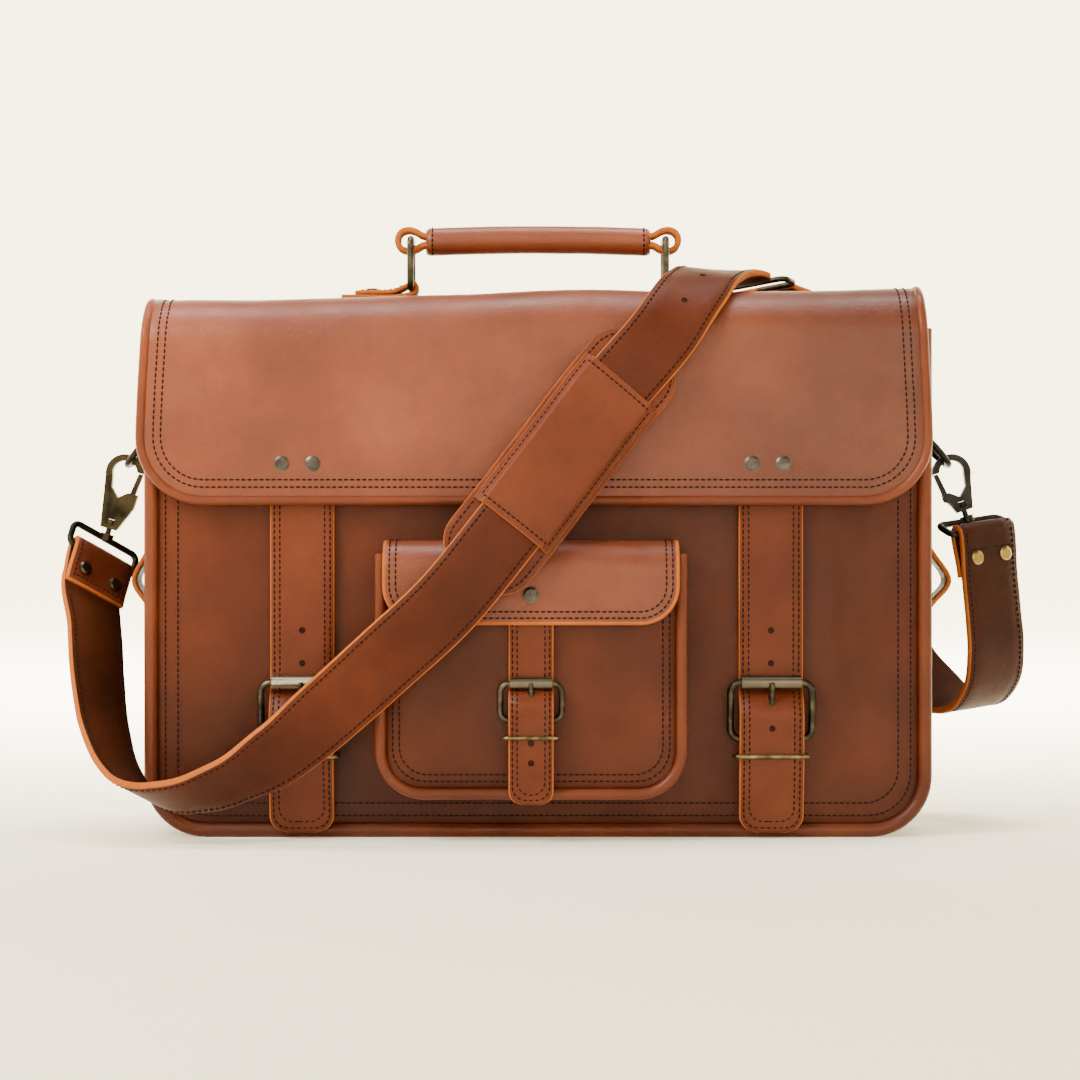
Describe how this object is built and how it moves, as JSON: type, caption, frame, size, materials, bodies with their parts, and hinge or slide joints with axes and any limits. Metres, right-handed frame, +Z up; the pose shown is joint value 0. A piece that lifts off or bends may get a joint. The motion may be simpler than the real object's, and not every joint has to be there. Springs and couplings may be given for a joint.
{
  "type": "leather briefcase",
  "caption": "Brown leather satchel briefcase with a fold-over flap, buckled front straps, a front pocket, a top handle and a hooked-on padded shoulder strap.",
  "frame": {"origin": "middle of the base on the surface the bag stands on", "axes": "+X to the right seen from the front, +Y to the back, +Z up"},
  "size_m": [0.5111, 0.1882, 0.3204],
  "materials": {
    "shell_leather": "waxed, pulled-up brown",
    "flap_leather": "waxed, pulled-up reddish brown",
    "welt_leather": "waxed, rolled edge",
    "strap_leather": "waxed with raw tan edges",
    "raw_leather": "raw tan edge",
    "pad_leather": "waxed",
    "lining": "cotton lining over board",
    "board": "covered stiffening board",
    "buckle_brass": "dark antique plating",
    "roller_brass": "worn antique plating",
    "hook_brass": "antique plating",
    "rivet_metal": "gunmetal plating"
  },
  "bodies": {
    "bag": {"front_panel": "shell_leather", "back_panel": "shell_leather", "gusset": "shell_leather", "front_piping": "welt_leather", "back_piping": "welt_leather", "base_board": "board", "divider": "lining", "inner_pocket": "lining", "flap_back_margin": "shell_leather", "pocket_front": "shell_leather", "pocket_gusset": "shell_leather", "pocket_piping": "welt_leather", "pocket_flap_margin": "shell_leather", "left_chape": "strap_leather", "right_chape": "strap_leather", "pocket_chape": "strap_leather", "d_ring_tabs": "strap_leather", "side_loops": "strap_leather", "side_rivets": "rivet_metal", "left_swivel_ring": "hook_brass", "right_swivel_ring": "hook_brass", "strap_left_drop": "strap_leather", "strap_right_drop": "strap_leather", "strap_end_folds": "strap_leather"},
    "flap": {"flap": "flap_leather", "flap_edge_roll": "welt_leather", "flap_rivets": "rivet_metal", "left_front_strap": "strap_leather", "right_front_strap": "strap_leather", "handle_tabs": "strap_leather"},
    "pocket_flap": {"pocket_flap": "shell_leather", "pocket_rivet": "rivet_metal", "pocket_strap": "strap_leather"},
    "left_handle_ring": {"left_handle_ring": "buckle_brass"},
    "right_handle_ring": {"right_handle_ring": "buckle_brass"},
    "handle": {"handle_core": "raw_leather", "handle_grip": "pad_leather"},
    "strap_front": {"strap_front_run": "strap_leather", "shoulder_pad": "pad_leather", "pad_sleeve": "pad_leather"},
    "strap_rear": {"strap_back_run": "strap_leather", "strap_adjuster": "buckle_brass"},
    "left_buckle_frame": {"left_buckle_frame": "buckle_brass"},
    "left_buckle_roller": {"left_buckle_roller": "roller_brass"},
    "left_buckle_prong": {"left_buckle_prong": "buckle_brass"},
    "left_keeper": {"left_keeper": "buckle_brass"},
    "right_buckle_frame": {"right_buckle_frame": "buckle_brass"},
    "right_buckle_roller": {"right_buckle_roller": "roller_brass"},
    "right_buckle_prong": {"right_buckle_prong": "buckle_brass"},
    "right_keeper": {"right_keeper": "buckle_brass"},
    "pocket_buckle_frame": {"pocket_buckle_frame": "buckle_brass"},
    "pocket_buckle_roller": {"pocket_buckle_roller": "roller_brass"},
    "pocket_buckle_prong": {"pocket_buckle_prong": "buckle_brass"},
    "pocket_keeper": {"pocket_keeper": "buckle_brass"},
    "left_d_ring": {"left_d_ring": "hook_brass"},
    "left_hook": {"left_hook": "hook_brass"},
    "left_hook_gate": {"left_hook_gate": "hook_brass"},
    "right_d_ring": {"right_d_ring": "hook_brass"},
    "right_hook": {"right_hook": "hook_brass"},
    "right_hook_gate": {"right_hook_gate": "hook_brass"}
  },
  "joints": [
    {"name": "flap_hinge", "type": "hinge", "parent": "bag", "child": "flap", "pos_m": [0, 0.0568, 0.266], "axis": [-1, 0, 0], "range_deg": [0, 88], "deforming": ["left_front_strap", "right_front_strap"]},
    {"name": "pocket_flap_hinge", "type": "hinge", "parent": "bag", "child": "pocket_flap", "pos_m": [-0.0035, -0.0558, 0.1532], "axis": [-1, 0, 0], "range_deg": [0, 75], "deforming": ["pocket_strap"]},
    {"name": "left_handle_ring_hinge", "type": "hinge", "parent": "flap", "child": "left_handle_ring", "pos_m": [-0.068, 0.004, 0.2876], "axis": [0, -1, 0], "range_deg": [0, 55]},
    {"name": "right_handle_ring_hinge", "type": "hinge", "parent": "flap", "child": "right_handle_ring", "pos_m": [0.068, 0.004, 0.2876], "axis": [0, -1, 0], "range_deg": [0, 55]},
    {"name": "handle_hinge", "type": "hinge", "parent": "left_handle_ring", "child": "handle", "pos_m": [-0.068, 0.004, 0.3135], "axis": [0, -1, 0], "range_deg": [-55, 0]},
    {"name": "strap_front_fold", "type": "hinge", "parent": "bag", "child": "strap_front", "pos_m": [-0.205, -0.085, 0.02], "axis": [1, 0, 0], "range_deg": [0, 88]},
    {"name": "strap_rear_fold", "type": "hinge", "parent": "bag", "child": "strap_rear", "pos_m": [0.215, 0.067, 0.073], "axis": [-1, 0, 0], "range_deg": [0, 53]},
    {"name": "left_buckle_hinge", "type": "hinge", "parent": "bag", "child": "left_buckle_frame", "pos_m": [-0.121, -0.0594, 0.051], "axis": [1, 0, 0], "range_deg": [0, 40]},
    {"name": "left_roller_spin", "type": "hinge", "parent": "left_buckle_frame", "child": "left_buckle_roller", "pos_m": [-0.121, -0.0632, 0.08], "axis": [1, 0, 0], "continuous": true},
    {"name": "left_prong_hinge", "type": "hinge", "parent": "left_buckle_frame", "child": "left_buckle_prong", "pos_m": [-0.121, -0.0594, 0.051], "axis": [1, 0, 0], "range_deg": [0, 40]},
    {"name": "left_keeper_slide", "type": "slide", "parent": "bag", "child": "left_keeper", "axis": [0, 0, 1], "range_m": [0, 0.0015]},
    {"name": "right_buckle_hinge", "type": "hinge", "parent": "bag", "child": "right_buckle_frame", "pos_m": [0.1195, -0.0594, 0.051], "axis": [1, 0, 0], "range_deg": [0, 45]},
    {"name": "right_roller_spin", "type": "hinge", "parent": "right_buckle_frame", "child": "right_buckle_roller", "pos_m": [0.1195, -0.0632, 0.08], "axis": [1, 0, 0], "continuous": true},
    {"name": "right_prong_hinge", "type": "hinge", "parent": "right_buckle_frame", "child": "right_buckle_prong", "pos_m": [0.1195, -0.0594, 0.051], "axis": [1, 0, 0], "range_deg": [0, 40]},
    {"name": "right_keeper_slide", "type": "slide", "parent": "bag", "child": "right_keeper", "axis": [0, 0, 1], "range_m": [0, 0.0015]},
    {"name": "pocket_buckle_hinge", "type": "hinge", "parent": "bag", "child": "pocket_buckle_frame", "pos_m": [-0.0035, -0.0881, 0.0625], "axis": [1, 0, 0], "range_deg": [0, 45]},
    {"name": "pocket_roller_spin", "type": "hinge", "parent": "pocket_buckle_frame", "child": "pocket_buckle_roller", "pos_m": [-0.0035, -0.091, 0.081], "axis": [1, 0, 0], "continuous": true},
    {"name": "pocket_prong_hinge", "type": "hinge", "parent": "pocket_buckle_frame", "child": "pocket_buckle_prong", "pos_m": [-0.0035, -0.0881, 0.0625], "axis": [1, 0, 0], "range_deg": [0, 40]},
    {"name": "pocket_keeper_slide", "type": "slide", "parent": "bag", "child": "pocket_keeper", "axis": [0, 0, 1], "range_m": [0, 0.0015]},
    {"name": "left_d_ring_hinge", "type": "hinge", "parent": "bag", "child": "left_d_ring", "pos_m": [-0.205, 0, 0.2085], "axis": [0, -1, 0], "range_deg": [0, 4]},
    {"name": "left_hook_swivel", "type": "hinge", "parent": "bag", "child": "left_hook", "pos_m": [-0.23, 0, 0.1572], "axis": [0.2811, 0, 0.9597], "range_deg": [-10, 10]},
    {"name": "left_gate_hinge", "type": "hinge", "parent": "left_hook", "child": "left_hook_gate", "pos_m": [-0.21788, 0, 0.17508], "axis": [0, -1, 0], "range_deg": [0, 16], "stiffness_Nm_per_rad": 0.02, "springref_deg": -28.65},
    {"name": "right_d_ring_hinge", "type": "hinge", "parent": "bag", "child": "right_d_ring", "pos_m": [0.205, 0, 0.2085], "axis": [0, 1, 0], "range_deg": [0, 4]},
    {"name": "right_hook_swivel", "type": "hinge", "parent": "bag", "child": "right_hook", "pos_m": [0.2285, 0, 0.1668], "axis": [-0.3247, 0, 0.9458], "range_deg": [-10, 10]},
    {"name": "right_gate_hinge", "type": "hinge", "parent": "right_hook", "child": "right_hook_gate", "pos_m": [0.21868, 0, 0.17508], "axis": [0, 1, 0], "range_deg": [0, 16], "stiffness_Nm_per_rad": 0.02, "springref_deg": -28.65}
  ],
  "couplings": [
    {"joint": "right_handle_ring_hinge", "follows": "left_handle_ring_hinge", "ratio": 1},
    {"joint": "handle_hinge", "follows": "left_handle_ring_hinge", "ratio": -1},
    {"joint": "strap_front_fold", "follows": "flap_hinge", "ratio": 1},
    {"joint": "pocket_flap_hinge", "follows": "flap_hinge", "ratio": 0.85},
    {"joint": "strap_rear_fold", "follows": "flap_hinge", "ratio": 0.6}
  ]
}
